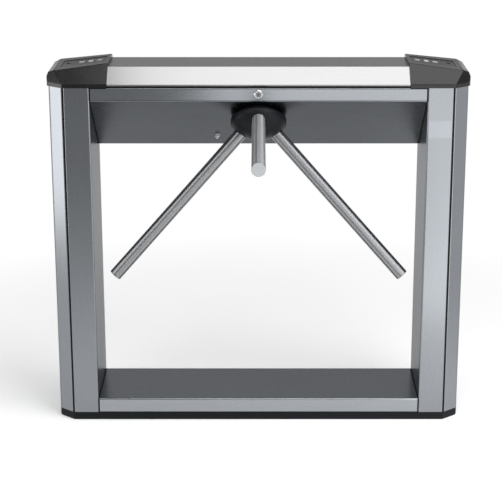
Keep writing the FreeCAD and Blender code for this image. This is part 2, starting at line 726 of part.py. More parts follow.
def build_caps():
    """Moulded end caps, each with a sunk indicator plate, its windows and the board behind them."""
    form = cap_form(0, 0)
    upper = [edge for edge in form.Edges
             if edge.BoundBox.ZMin > POST_HEIGHT + CAP_LIP / 2 and edge.BoundBox.XMax > CAP_X + CAP_EDGE]
    form = form.makeFillet(CAP_EDGE, upper)
    shell = form.cut(cap_form(CAP_WALL, CAP_DECK))
    plate_top = -INDICATOR_SINK
    plate_low = plate_top - INDICATOR_THICKNESS
    recess = prism(outline(deck_rectangle(BOARD_FIT), INDICATOR_CORNER), plate_low, CAP_HEIGHT)
    well = prism(outline(deck_rectangle(-INDICATOR_LEDGE), INDICATOR_CORNER), -2 * CAP_DECK, CAP_HEIGHT)
    both_sides("end_cap", shell.cut([on_deck(recess), on_deck(well)]))

    plate = prism(outline(deck_rectangle(0), INDICATOR_CORNER), plate_low, plate_top)
    port_x = INDICATOR_MARGIN + PORT_PLACE
    port_half = PORT_SIZE / 2
    port = box(port_x - port_half, port_x + port_half, -port_half, port_half, plate_low, plate_top)
    gaps = [prism(window_face(i, WINDOW_FIT), plate_low, plate_top) for i in range(WINDOW_COUNT)]
    both_sides("indicator_panel", on_deck(plate.cut(gaps + [port])))

    windows = []
    board_top = plate_low - LED_HEIGHT
    for i in range(WINDOW_COUNT):
        window = on_deck(prism(window_face(i, 0), plate_low, plate_top))
        windows += [window, mirrored(window)]
    margin = -INDICATOR_LEDGE - BOARD_FIT
    board = [prism(outline(deck_rectangle(margin), INDICATOR_CORNER), board_top - BOARD, board_top)]
    for i in range(WINDOW_COUNT):
        x = INDICATOR_MARGIN + WINDOW_FIRST + i * WINDOW_PITCH
        for y in (-LED_SPREAD / 2, LED_SPREAD / 2):
            board.append(box(x - LED_SIZE / 2, x + LED_SIZE / 2, y - LED_SIZE / 2, y + LED_SIZE / 2,
                             board_top, plate_low))
    for y in (-BOARD_POST_SPREAD / 2, BOARD_POST_SPREAD / 2):
        board.append(rod(BOARD_POST, board_top, plate_low, port_x, y))
    lamp_board = on_deck(joined(board))
    parts["indicator_windows"] = Part.makeCompound(windows)
    parts["indicator_boards"] = Part.makeCompound([lamp_board, mirrored(lamp_board)])


def revolved(points):
    """Solid turned about the Z axis from a profile of (radius, height) points and their edges."""
    return Part.Face(Part.Wire(Part.__sortEdges__(points))).revolve(V(0, 0, 0), V(0, 0, 1), 360)


def polar(centre, radius, turn):
    """Point on a circle in the XZ plane."""
    return centre + V(radius * math.cos(turn), 0, radius * math.sin(turn))


def dome(inset):
    """Turned form of the hub: a straight side, a round shoulder and a flatter crown that meets it smoothly."""
    radius = HUB_DIAMETER / 2 - inset
    height = HUB_DOME - inset
    shoulder = HUB_SHOULDER - inset
    crown = (radius ** 2 - 2 * radius * shoulder + height ** 2) / (2 * (height - shoulder))
    shoulder_centre = V(radius - shoulder, 0, DOME_LOW)
    crown_centre = V(0, 0, DOME_LOW + height - crown)
    meet = math.atan2(shoulder_centre.z - crown_centre.z, shoulder_centre.x)
    base = polar(shoulder_centre, shoulder, 0)
    joint = polar(shoulder_centre, shoulder, meet)
    top = polar(crown_centre, crown, math.pi / 2)
    bend = Part.Arc(base, polar(shoulder_centre, shoulder, meet / 2), joint).toShape()
    cap = Part.Arc(joint, polar(crown_centre, crown, (meet + math.pi / 2) / 2), top).toShape()
    foot, axis = V(radius, 0, HUB_LOW), V(0, 0, HUB_LOW)
    return revolved([Part.makeLine(axis, foot), Part.makeLine(foot, base), bend, cap, Part.makeLine(top, axis)])


def arm_frame(i):
    """Placement along an arm's axis, from the point where the three axes meet."""
    turn = math.radians(360.0 * i / ARM_COUNT)
    lean = math.radians(HUB_TILT)
    direction = V(math.sin(lean) * math.sin(turn), math.sin(lean) * math.cos(turn), math.cos(lean))
    return FreeCAD.Placement(V(0, 0, -ARM_MEET), FreeCAD.Rotation(V(0, 0, 1), direction))


def build_hub():
    """Domed cover, casting and arms, all turning on the hub axis."""
    bores = [placed(rod(ARM_DIAMETER + 2 * ARM_COVER_GAP, ARM_SEAT, ARM_LENGTH), arm_frame(i))
             for i in range(ARM_COUNT)]
    cover = dome(0).cut(dome(HUB_SKIN)).cut(bores)
    parts["hub_cover"] = in_hub(cover)

    top = HUB_LOW + CASTING_HEIGHT
    flange = HUB_DIAMETER / 2 - HUB_SKIN - ARM_FIT
    corners = [V(0, 0, HUB_LOW), V(flange, 0, HUB_LOW), V(flange, 0, HUB_LOW + CASTING_FLANGE),
               V(CASTING_DIAMETER / 2, 0, HUB_LOW + CASTING_FLANGE),
               V(CASTING_DIAMETER / 2, 0, HUB_LOW + CASTING_SIDE), V(CASTING_FACE / 2, 0, top), V(0, 0, top)]
    casting = revolved([Part.makeLine(corners[i - 1], corners[i]) for i in range(len(corners))])
    sockets = [placed(rod(ARM_DIAMETER + 2 * ARM_FIT, ARM_SEAT, ARM_LENGTH), arm_frame(i))
               for i in range(ARM_COUNT)]
    shaft_hole = rod(SHAFT_HUB + 2 * RUN_FIT, HUB_LOW, top - HUB_BOLT_BRIDGE + ARM_FIT)
    bolt_hole = rod(HUB_BOLT + BOLT_FIT, HUB_LOW, top)
    parts["hub_casting"] = in_hub(casting.cut(sockets + [shaft_hole, bolt_hole]))

    head = hexagon(HUB_BOLT * BOLT_HEAD_RATIO, top, top + HUB_BOLT_HEAD)
    parts["hub_bolt"] = in_hub(joined([rod(HUB_BOLT, top - HUB_BOLT_GRIP, top), head]))

    names = ("front_arm", "right_arm", "left_arm")
    discs = []
    for i in range(ARM_COUNT):
        tube = sleeve(ARM_DIAMETER, ARM_DIAMETER - 2 * ARM_WALL, ARM_SEAT, ARM_LENGTH - ARM_DISC)
        parts[names[i]] = in_hub(placed(tube, arm_frame(i)))
        disc = rod(ARM_DIAMETER, ARM_LENGTH - ARM_DISC, ARM_LENGTH)
        rim = [edge for edge in disc.Edges if edge.BoundBox.ZMin > ARM_LENGTH - ARM_DISC / 2]
        discs.append(in_hub(placed(disc.makeFillet(ARM_DISC_EDGE, rim), arm_frame(i))))
    parts["arm_end_discs"] = Part.makeCompound(discs)

    collar = Part.makeCone(COLLAR_FOOT / 2, HUB_DIAMETER / 2, COLLAR_HEIGHT)
    parts["hub_collar"] = in_hub(collar.cut(rod(COLLAR_BORE, 0, COLLAR_HEIGHT)))


def build_bearings():
    """Flanged housing through the panel, its two bearings and the plate that carries it."""
    barrel = BEARING_OUTER + 2 * HOUSING_WALL
    housing = joined([rod(barrel, -HOUSING_REACH, HOUSING_NOSE), rod(HOUSING_FLANGE, FLANGE_BACK, PLATE_BACK)])
    front_seat = HOUSING_NOSE - BEARING_WIDTH
    rear_seat = BEARING_WIDTH - HOUSING_REACH
    seats = [rod(BEARING_OUTER, front_seat, HOUSING_NOSE), rod(BEARING_OUTER, -HOUSING_REACH, rear_seat),
             rod(BEARING_OUTER - 2 * HOUSING_SHOULDER, rear_seat, front_seat)]
    spots = [(HOUSING_BOLT_CIRCLE / 2 * math.cos(math.radians(turn)),
              HOUSING_BOLT_CIRCLE / 2 * math.sin(math.radians(turn)))
             for turn in range(0, 360, 360 // HOUSING_BOLT_COUNT)]
    holes = [rod(HOUSING_BOLT + BOLT_FIT, FLANGE_BACK, PANEL_BACK, x, y) for x, y in spots]
    parts["bearing_housing"] = in_hub(housing.cut(seats + holes))
    head = HOUSING_BOLT * BOLT_HEAD_RATIO
    bolts = [joined([rod(HOUSING_BOLT, FLANGE_BACK, PANEL_BACK, x, y),
                     rod(head, FLANGE_BACK - HOUSING_BOLT, FLANGE_BACK, x, y)]) for x, y in spots]
    parts["housing_bolts"] = Part.makeCompound([in_hub(bolt) for bolt in bolts])

    for name, low in (("front_bearing", front_seat), ("rear_bearing", -HOUSING_REACH)):
        ring = sleeve(BEARING_OUTER - 2 * SEAT_FIT, BEARING_BORE + 2 * RUN_FIT, low, low + BEARING_WIDTH)
        groove = sleeve(BEARING_OUTER - 2 * BEARING_LIP, BEARING_BORE + 2 * BEARING_LIP, 0, BEARING_LIP / 2)
        faces = []
        for height in (low, low + BEARING_WIDTH - BEARING_LIP / 2):
            face = groove.copy()
            face.translate(V(0, 0, height))
            faces.append(face)
        parts[name] = in_hub(ring.cut(faces))

    plate = prism(outline(rectangle(-PLATE_HALF_WIDTH, PLATE_HALF_WIDTH, -PLATE_DOWN, PLATE_UP), PLATE_CORNER),
                  PLATE_BACK, PANEL_BACK)
    parts["mechanism_plate"] = in_hub(plate.cut([rod(barrel + 2 * NECK_FIT, PLATE_BACK, PANEL_BACK)] + holes))


def build_shaft():
    """Stepped shaft with the index disc, encoder disc, drive gear and nut on it."""
    hub_end = HUB_LOW + CASTING_HEIGHT - HUB_BOLT_BRIDGE
    collar_low = HOUSING_NOSE + SHAFT_COLLAR_GAP
    shaft = joined([rod(SHAFT_HUB, collar_low, hub_end), rod(SHAFT_COLLAR, collar_low, HUB_LOW),
                    rod(BEARING_BORE, RATCHET_FRONT, collar_low), rod(SHAFT_REAR, SHAFT_END, RATCHET_FRONT)])
    bolt_low = HUB_LOW + CASTING_HEIGHT - HUB_BOLT_GRIP
    parts["main_shaft"] = in_hub(shaft.cut(rod(HUB_BOLT + 2 * SEAT_FIT, bolt_low, hub_end)))

    bore = SHAFT_REAR + 2 * RUN_FIT
    disc = sleeve(RATCHET_DIAMETER, bore, RATCHET_BACK, RATCHET_FRONT)
    parts["index_disc"] = in_hub(disc.cut(ring_of_slots(NOTCH_COUNT, RATCHET_DIAMETER, NOTCH_WIDTH, NOTCH_DEPTH,
                                                        RATCHET_BACK, RATCHET_FRONT)))
    thin = rod(ENCODER_DIAMETER, ENCODER_BACK, ENCODER_FRONT)
    thin = thin.cut(ring_of_slots(NOTCH_COUNT, ENCODER_DIAMETER, ENCODER_SLOT_WIDTH, ENCODER_SLOT_DEPTH,
                                  ENCODER_BACK, ENCODER_FRONT))
    encoder = joined([thin, rod(DISC_BOSS, ENCODER_FRONT, RATCHET_BACK)])
    parts["encoder_disc"] = in_hub(encoder.cut(rod(bore, ENCODER_BACK, RATCHET_BACK)))
    gear = joined([prism(gear_face(GEAR_TEETH, MOTOR_ANGLE), GEAR_BACK, GEAR_FRONT),
                   rod(DISC_BOSS, GEAR_FRONT, ENCODER_BACK)])
    parts["drive_gear"] = in_hub(gear.cut(rod(bore, GEAR_BACK, ENCODER_BACK)))
    nut = hexagon(NUT_SIZE, SHAFT_END, GEAR_BACK).cut(rod(bore, SHAFT_END, GEAR_BACK))
    parts["shaft_nut"] = in_hub(nut)


def ring_of_slots(count, diameter, width, depth, low, high):
    """Slots cut inwards from the rim of a disc, the first one on +X."""
    slots = []
    for i in range(count):
        slot = box(diameter / 2 - depth, diameter, -width / 2, width / 2, low, high)
        slot.rotate(V(0, 0, 0), V(0, 0, 1), 360.0 * i / count)
        slots.append(slot)
    return slots


def gear_face(teeth, phase):
    """Involute gear outline with a tooth centred on the given angle."""
    pitch = GEAR_MODULE * teeth / 2
    pressure = math.radians(PRESSURE_ANGLE)
    base = pitch * math.cos(pressure)
    root = pitch - 1.25 * GEAR_MODULE
    tip = pitch + GEAR_MODULE
    start = max(base, root)
    flank = [start + (tip - start) * i / 4 for i in range(5)]
    half_tooth = math.pi / (2 * teeth) - BACKLASH / (2 * pitch)

    def half_angle(radius):
        slant = math.acos(min(base / radius, 1.0))
        return half_tooth + math.tan(pressure) - pressure - (math.tan(slant) - slant)

    profile = [(root, half_angle(start))] + [(radius, half_angle(radius)) for radius in flank]
    points = []
    for i in range(teeth):
        middle = math.radians(phase) + 2 * math.pi * i / teeth
        rising = [(radius, middle - half) for radius, half in profile]
        falling = [(radius, middle + half) for radius, half in reversed(profile)]
        points += [V(radius * math.cos(turn), radius * math.sin(turn), 0) for radius, turn in rising + falling]
    return Part.Face(Part.makePolygon(points + [points[0]]))


def build_drive():
    """Rear plate on four pillars, with the positioning motor and its pinion."""
    spread = GEAR_MODULE * (GEAR_TEETH + PINION_TEETH) / 2 + GEAR_SPREAD
    x = spread * math.cos(math.radians(MOTOR_ANGLE))
    y = spread * math.sin(math.radians(MOTOR_ANGLE))
    shape = rectangle(-REAR_PLATE_HALF_WIDTH, REAR_PLATE_HALF_WIDTH, -REAR_PLATE_DOWN, REAR_PLATE_UP)
    plate = prism(outline(shape, PLATE_CORNER), REAR_PLATE_BACK, REAR_PLATE_FRONT)
    holes = [rod(REAR_PLATE_EYE, REAR_PLATE_BACK, REAR_PLATE_FRONT),
             rod(MOTOR_BOSS + 2 * NECK_FIT, REAR_PLATE_BACK, REAR_PLATE_FRONT, x, y)]
    parts["rear_plate"] = in_hub(plate.cut(holes))
    pillars = []
    for side in (1, -1):
        for px, py in ((PILLAR_LOW_X, PILLAR_LOW_Y), (PILLAR_HIGH_X, PILLAR_HIGH_Y)):
            pillars.append(in_hub(hexagon(PILLAR, REAR_PLATE_FRONT, PLATE_BACK, side * px, py)))
    parts["plate_pillars"] = Part.makeCompound(pillars)

    motor = joined([rod(MOTOR_DIAMETER, REAR_PLATE_BACK - MOTOR_LENGTH, REAR_PLATE_BACK, x, y),
                    rod(MOTOR_BOSS, REAR_PLATE_BACK, REAR_PLATE_FRONT, x, y)])
    shaft_low = REAR_PLATE_FRONT - MOTOR_BORE_DEPTH
    bore = rod(MOTOR_SHAFT + 2 * RUN_FIT, shaft_low - MOTOR_BORE_RELIEF, REAR_PLATE_FRONT, x, y)
    parts["gear_motor"] = in_hub(motor.cut(bore))

    gap_angle = MOTOR_ANGLE + 180 + 180.0 / PINION_TEETH
    pinion = prism(gear_face(PINION_TEETH, gap_angle), GEAR_BACK, GEAR_FRONT)
    pinion.translate(V(x, y, 0))
    parts["motor_pinion"] = in_hub(joined([pinion, rod(MOTOR_SHAFT, shaft_low, GEAR_BACK, x, y)]))


def build_pawls():
    """Two pawls beside the index disc, each worked by a solenoid through a forked plunger."""
    x, y = PAWL_PIVOT_X, PAWL_PIVOT_Y
    nose_x = RATCHET_DIAMETER / 2 + PAWL_NOSE_GAP
    swing = math.radians(PAWL_SWING)
    nose_y = y + ((x - nose_x) * math.sin(swing) - y) / math.cos(swing)
    nose_low, nose_high = nose_y - PAWL_NOSE_WIDTH / 2, nose_y + PAWL_NOSE_WIDTH / 2
    half = PAWL_BAR / 2
    bar = prism(outline(rectangle(x - half, x + half, PAWL_TAIL_Y - half, nose_high), PAWL_BAR_CORNER),
                RATCHET_BACK, RATCHET_FRONT)
    tip = PAWL_NOSE_TIP / 2
    taper = [V(nose_x, nose_y - tip, 0), V(x, nose_low, 0), V(x, nose_high, 0), V(nose_x, nose_y + tip, 0)]
    nose = prism(outline(taper), RATCHET_BACK, RATCHET_FRONT)
    boss = rod(PAWL_BOSS, RATCHET_BACK, RATCHET_FRONT, x, y)
    slot_half = LINK_PIN / 2 + PAWL_SLOT_FIT
    slot = rectangle(x - slot_half, x + slot_half, PAWL_TAIL_Y - PAWL_SLOT_LENGTH / 2,
                     PAWL_TAIL_Y + PAWL_SLOT_LENGTH / 2)
    holes = [rod(PAWL_PIN + 2 * RUN_FIT, RATCHET_BACK, RATCHET_FRONT, x, y),
             prism(outline(slot, PAWL_SLOT_CORNER), RATCHET_BACK, RATCHET_FRONT)]
    pawl = joined([bar, nose, boss]).cut(holes)
    clip_high = RATCHET_BACK - PAWL_SIDE_GAP
    clip_low = clip_high - PIN_CLIP
    pin = joined([rod(PIN_SHOULDER, RATCHET_FRONT + PAWL_SIDE_GAP, PLATE_BACK, x, y),
                  rod(PAWL_PIN, clip_low, PLATE_BACK, x, y),
                  rod(PIN_SHOULDER, clip_low, clip_high, x, y)])
    parts["pawl_pins"] = Part.makeCompound([in_hub(pin), mirrored(in_hub(pin))])
    both_sides("pawl", in_hub(pawl))

    front = RATCHET_FRONT + FORK_SIDE_GAP
    back = RATCHET_BACK - FORK_SIDE_GAP
    tip_x, bridge_x = x - FORK_WIDTH / 2, x + half + FORK_GAP
    root_x = bridge_x + FORK_BRIDGE
    low, high = PAWL_TAIL_Y - FORK_WIDTH / 2, PAWL_TAIL_Y + FORK_WIDTH / 2
    rod_start = V(bridge_x + FORK_BRIDGE / 2, PAWL_TAIL_Y, PAWL_MIDDLE)
    plunger = joined([box(tip_x, root_x, low, high, front, front + FORK_CHEEK),
                      box(tip_x, root_x, low, high, back - FORK_CHEEK, back),
                      box(bridge_x, root_x, low, high, back - FORK_CHEEK, front + FORK_CHEEK),
                      rod(LINK_PIN, back - FORK_CHEEK, front + FORK_CHEEK, x, PAWL_TAIL_Y),
                      Part.makeCylinder(PLUNGER / 2, PLUNGER_REACH, rod_start, V(1, 0, 0))])
    both_sides("plunger", in_hub(plunger))

    size = SOLENOID_SIZE / 2
    block = box(SOLENOID_X, SOLENOID_X + SOLENOID_LENGTH, PAWL_TAIL_Y - size, PAWL_TAIL_Y + size,
                PAWL_MIDDLE - size, PAWL_MIDDLE + size)
    web = box(SOLENOID_X, SOLENOID_X + SOLENOID_LENGTH, PAWL_TAIL_Y - size, PAWL_TAIL_Y - size + SOLENOID_FOOT,
              PAWL_MIDDLE + size, PLATE_BACK)
    foot = box(SOLENOID_X, SOLENOID_X + SOLENOID_LENGTH, PAWL_TAIL_Y - size, PAWL_TAIL_Y + size,
               PLATE_BACK - SOLENOID_FOOT, PLATE_BACK)
    mouth = V(SOLENOID_X, PAWL_TAIL_Y, PAWL_MIDDLE)
    bore = Part.makeCylinder(PLUNGER / 2 + RUN_FIT, SOLENOID_BORE_DEPTH, mouth, V(1, 0, 0))
    both_sides("solenoid", in_hub(joined([block, web, foot]).cut(bore)))


def build_sensor():
    """Position sensor: a small board on two posts, with a fork round the encoder disc's rim."""
    fork_front = ENCODER_FRONT + SENSOR_FORK_GAP
    fork_back = ENCODER_BACK - SENSOR_FORK_GAP
    board_back = fork_front + SENSOR_FORK_CHEEK
    half = SENSOR_FORK_WIDTH / 2
    board = box(-SENSOR_BOARD_LENGTH / 2, SENSOR_BOARD_LENGTH / 2, SENSOR_BOARD_DOWN, SENSOR_BOARD_UP,
                board_back, board_back + BOARD)
    root = box(-half, half, SENSOR_FORK_ROOT, SENSOR_ROOT_UP, fork_back - SENSOR_FORK_CHEEK, board_back)
    front = box(-half, half, SENSOR_FORK_DOWN, SENSOR_FORK_ROOT, fork_front, board_back)
    back = box(-half, half, SENSOR_FORK_DOWN, SENSOR_FORK_ROOT, fork_back - SENSOR_FORK_CHEEK, fork_back)
    posts = [rod(SENSOR_POST, board_back + BOARD, PLATE_BACK, side * SENSOR_POST_X, SENSOR_POST_Y)
             for side in (1, -1)]
    parts["position_sensor"] = in_hub(joined([board, root, front, back] + posts))


def build_electronics():
    """Control board with relays and terminals on standoffs, and a vented power supply."""
    low, high = -BOARD_DROP - BOARD_WIDTH / 2, -BOARD_DROP + BOARD_WIDTH / 2
    x0, x1 = BOARD_X - BOARD_LENGTH / 2, BOARD_X + BOARD_LENGTH / 2
    face = PANEL_BACK - STANDOFF_HEIGHT
    back = face - BOARD
    pieces = [box(x0, x1, low, high, back, face),
              box(BOARD_X - CHIP_LENGTH / 2, BOARD_X + CHIP_LENGTH / 2, -BOARD_DROP - CHIP_LENGTH / 2,
                  -BOARD_DROP + CHIP_LENGTH / 2, back - CHIP_HEIGHT, back)]
    for i in range(RELAY_COUNT):
        x = BOARD_X + (i - (RELAY_COUNT - 1) / 2) * RELAY_PITCH
        pieces.append(box(x - RELAY_LENGTH / 2, x + RELAY_LENGTH / 2, high - STANDOFF_INSET - RELAY_WIDTH,
                          high - STANDOFF_INSET, back - RELAY_HEIGHT, back))
    row = box(BOARD_X - TERMINAL_LENGTH / 2, BOARD_X + TERMINAL_LENGTH / 2, low, low + TERMINAL_WIDTH,
              back - TERMINAL_HEIGHT, back)
    pitch = TERMINAL_LENGTH / TERMINAL_WAYS
    ways = [rod(TERMINAL_HOLE, back - TERMINAL_HEIGHT, back - TERMINAL_HEIGHT / 2,
                BOARD_X - TERMINAL_LENGTH / 2 + (i + 0.5) * pitch, low + TERMINAL_WIDTH / 2)
            for i in range(TERMINAL_WAYS)]
    parts["control_board"] = in_hub(joined(pieces + [row]).cut(ways))
    posts = []
    for x in (x0 + STANDOFF_INSET, x1 - STANDOFF_INSET):
        for y in (low + STANDOFF_INSET, high - STANDOFF_INSET):
            posts.append(in_hub(hexagon(STANDOFF, face, PANEL_BACK, x, y)))
    parts["board_standoffs"] = Part.makeCompound(posts)

    middle = -SUPPLY_DROP
    case = box(SUPPLY_X - SUPPLY_LENGTH / 2, SUPPLY_X + SUPPLY_LENGTH / 2, middle - SUPPLY_WIDTH / 2,
               middle + SUPPLY_WIDTH / 2, PANEL_BACK - SUPPLY_HEIGHT, PANEL_BACK)
    vents = []
    for i in range(SUPPLY_SLOTS):
        x = SUPPLY_X + (i - (SUPPLY_SLOTS - 1) / 2) * SUPPLY_SLOT_PITCH
        vents.append(box(x - SUPPLY_SLOT_WIDTH / 2, x + SUPPLY_SLOT_WIDTH / 2, middle - SUPPLY_SLOT_LENGTH / 2,
                         middle + SUPPLY_SLOT_LENGTH / 2, PANEL_BACK - SUPPLY_HEIGHT,
                         PANEL_BACK - SUPPLY_HEIGHT + SUPPLY_SLOT_DEPTH))
    parts["power_supply"] = in_hub(case.cut(vents))


def build_lock():
    """Key lock on the flange: bezel and body, nut behind the sheet, and a plug with a cam."""
    stand = FreeCAD.Placement(V(0, FRONT, LOCK_Z), FreeCAD.Rotation(V(1, 0, 0), 90))

    def on_flange(shape):
        return placed(shape, stand)

    bore = rod(LOCK_PLUG + 2 * RUN_FIT, -LOCK_BODY_LENGTH, LOCK_BEZEL_DEPTH)
    bezel = rod(LOCK_BEZEL, 0, LOCK_BEZEL_DEPTH)
    rim = [edge for edge in bezel.Edges if edge.BoundBox.ZMin > LOCK_BEZEL_DEPTH / 2]
    bezel = bezel.makeChamfer(LOCK_BEZEL_DEPTH / 2, rim)
    body = joined([bezel, rod(LOCK_BODY, -LOCK_BODY_LENGTH, 0)])
    parts["release_lock_body"] = on_flange(body.cut(bore))
    nut = hexagon(LOCK_NUT, -HOUSING_SHEET - LOCK_NUT_THICKNESS, -HOUSING_SHEET)
    nut = nut.cut(rod(LOCK_BODY + 2 * RUN_FIT, -HOUSING_SHEET - LOCK_NUT_THICKNESS, -HOUSING_SHEET))
    parts["release_lock_nut"] = on_flange(nut)

    cam_front = -LOCK_BODY_LENGTH - LOCK_CAM_GAP
    plug = rod(LOCK_PLUG, cam_front - LOCK_CAM, LOCK_BEZEL_DEPTH - LOCK_PLUG_SINK)
    keyway = box(-LOCK_KEYWAY / 2, LOCK_KEYWAY / 2, -LOCK_KEYWAY_LENGTH / 2, LOCK_KEYWAY_LENGTH / 2,
                 LOCK_BEZEL_DEPTH - LOCK_KEYWAY_DEPTH, LOCK_BEZEL_DEPTH)
    blade = rectangle(0, LOCK_CAM_LENGTH, -LOCK_CAM_WIDTH / 2, LOCK_CAM_WIDTH / 2)
    cam = prism(outline(blade, LOCK_CAM_CORNER), cam_front - LOCK_CAM, cam_front)
    parts["release_lock_plug"] = on_flange(joined([plug, cam]).cut(keyway))


def build_stud():
    """Earth stud through the inclined panel, with a washer and nut on each side."""
    pieces = [rod(STUD, -HOUSING_SHEET - STUD_TAIL, STUD_HEIGHT)]
    for side in (1, -1):
        face = 0 if side == 1 else PANEL_BACK
        seat = face + side * STUD_WASHER_THICKNESS
        washer = sleeve(STUD_WASHER, STUD + 2 * STUD_FIT, min(face, seat), max(face, seat))
        end = seat + side * STUD_NUT_THICKNESS
        nut = hexagon(STUD_NUT, min(seat, end), max(seat, end))
        pieces += [washer, nut.cut(rod(STUD + 2 * STUD_FIT, min(seat, end), max(seat, end)))]
    for shape in pieces:
        shape.translate(V(STUD_X, -STUD_DOWN, 0))
    parts["earth_stud"] = Part.makeCompound([in_hub(shape) for shape in pieces])


build_plinth()
build_floor_frame()
build_base_cover()
build_posts()
build_seals()
build_beam()
build_lid()
build_caps()
build_hub()
build_bearings()
build_shaft()
build_drive()
build_pawls()
build_sensor()
build_electronics()
build_lock()
build_stud()

os.makedirs("parts", exist_ok=True)
for name, shape in parts.items():
    shape.exportStep("parts/" + name + ".step")
print(len(parts), "parts")
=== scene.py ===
import bmesh
import bpy
import math
from mathutils import Euler, Matrix, Vector


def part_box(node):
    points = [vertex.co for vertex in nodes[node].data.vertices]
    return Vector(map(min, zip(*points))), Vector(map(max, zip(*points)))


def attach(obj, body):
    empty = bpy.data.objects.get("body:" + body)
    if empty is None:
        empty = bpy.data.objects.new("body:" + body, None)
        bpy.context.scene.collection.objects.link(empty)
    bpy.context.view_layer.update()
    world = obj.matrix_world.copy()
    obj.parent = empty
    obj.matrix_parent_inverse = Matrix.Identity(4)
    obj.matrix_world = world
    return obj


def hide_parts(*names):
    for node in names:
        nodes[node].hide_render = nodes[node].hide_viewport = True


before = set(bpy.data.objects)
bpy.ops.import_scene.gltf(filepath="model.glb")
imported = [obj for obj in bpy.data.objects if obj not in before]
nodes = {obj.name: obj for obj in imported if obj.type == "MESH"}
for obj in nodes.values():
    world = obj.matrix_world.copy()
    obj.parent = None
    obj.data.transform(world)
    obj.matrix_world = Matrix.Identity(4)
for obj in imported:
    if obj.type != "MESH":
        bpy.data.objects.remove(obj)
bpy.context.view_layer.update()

scene = bpy.context.scene
scene.view_settings.view_transform = "Standard"

# Shader nodes

UPRIGHT = Matrix.Identity(3)
ALONG_X = Matrix.Rotation(math.radians(90), 3, "Y")
NOISE_SPAN = (0.3, 0.7)  # most of a noise texture's values lie between these
SHEET_REACH = (0.0014, 0.0026)  # metres from a plane up to which a face counts as in it, and from which it doesn't
QUARTER_TURN = 0.25


def new_material(name):
    material = bpy.data.materials.new(name)
    material.use_nodes = True
    return material, material.node_tree, material.node_tree.nodes["Principled BSDF"]


def add(tree, kind, **values):
    """Adds a shader node; values set its properties or, by their socket names, its inputs."""
    node = tree.nodes.new(kind)
    for name, value in values.items():
        if hasattr(node, name):
            setattr(node, name, value)
        else:
            node.inputs[name].default_value = value
    return node


def worked_out(tree, kind, operation, *values, output="Value", **settings):
    """Result of a math node, whose inputs are other nodes' outputs or plain values."""
    node = add(tree, kind, operation=operation, **settings)
    for value, socket in zip(values, node.inputs):
        if isinstance(value, bpy.types.NodeSocket):
            tree.links.new(value, socket)
        else:
            socket.default_value = value
    return node.outputs[output]


def number(tree, operation, *values, **settings):
    return worked_out(tree, "ShaderNodeMath", operation, *values, **settings)


def vector(tree, operation, *values, **settings):
    return worked_out(tree, "ShaderNodeVectorMath", operation, *values, **settings)


def own_place(tree):
    """The piece's own coordinates."""
    return add(tree, "ShaderNodeTexCoord").outputs["Object"]


def noise(tree, size, detail, rough, turn=UPRIGHT):
    """Noise in the piece's own coordinates, turned so that Z runs along the grain, with its size in metres."""
    mapping = add(tree, "ShaderNodeMapping", vector_type="TEXTURE", Rotation=turn.to_euler(), Scale=size)
    tree.links.new(own_place(tree), mapping.inputs["Vector"])
    texture = add(tree, "ShaderNodeTexNoise", Scale=1.0, Detail=detail, Roughness=rough)
    tree.links.new(mapping.outputs["Vector"], texture.inputs["Vector"])
    return texture.outputs["Fac"]


def even_noise(tree, size, detail, rough):
    return noise(tree, (size, size, size), detail, rough)


def ranged(tree, value, low, high, span=NOISE_SPAN, kind="LINEAR"):
    """Maps a value from a span to low..high."""
    node = add(tree, "ShaderNodeMapRange", interpolation_type=kind)
    tree.links.new(value, node.inputs["Value"])
    for name, limit in (("From Min", span[0]), ("From Max", span[1]), ("To Min", low), ("To Max", high)):
        node.inputs[name].default_value = limit
    return node.outputs["Result"]


def scaled(colour, factor):
    return tuple(part * factor for part in colour)


def tinted(tree, value, colour, tones):
    """Colour that runs between two shares of itself with a value."""
    ramp = add(tree, "ShaderNodeValToRGB")
    for stop, position, tone in zip(ramp.color_ramp.elements, NOISE_SPAN, tones):
        stop.position = position
        stop.color = (*scaled(colour, tone), 1.0)
    tree.links.new(value, ramp.inputs["Fac"])
    return ramp.outputs["Color"]


def mean(tree, first, second, share):
    """Mix of two values."""
    node = add(tree, "ShaderNodeMix", Factor=share)
    tree.links.new(first, node.inputs["A"])
    tree.links.new(second, node.inputs["B"])
    return node.outputs["Result"]


def in_plane(tree, normal, offset):
    """One on the sheet that lies in a plane of the piece, nothing elsewhere."""
    height = vector(tree, "DOT_PRODUCT", own_place(tree), normal)
    gap = number(tree, "ABSOLUTE", number(tree, "SUBTRACT", height, offset))
    return ranged(tree, gap, 1.0, 0.0, SHEET_REACH)


def surface(tree, shader, colour, rough, fine, cloud, share, tones, swing, depth, height):
    """Gives a shader its tint and gloss from a fine grain mixed with clouds, and its relief from the grain alone.

    Share is the clouds' part of the mix. Tones are the shares of the colour at the two ends of the mix, and swing is
    what the roughness gains there. Depth and height are the relief's strength and distance. The tint is returned.
    """
    mixed = mean(tree, fine, cloud, share)
    tint = tinted(tree, mixed, colour, tones)
    tree.links.new(tint, shader.inputs["Base Color"])
    tree.links.new(ranged(tree, mixed, rough + swing[0], rough + swing[1]), shader.inputs["Roughness"])
    bump = add(tree, "ShaderNodeBump", Strength=depth, Distance=height)
    tree.links.new(fine, bump.inputs["Height"])
    tree.links.new(bump.outputs["Normal"], shader.inputs["Normal"])
    return tint


# Finishes

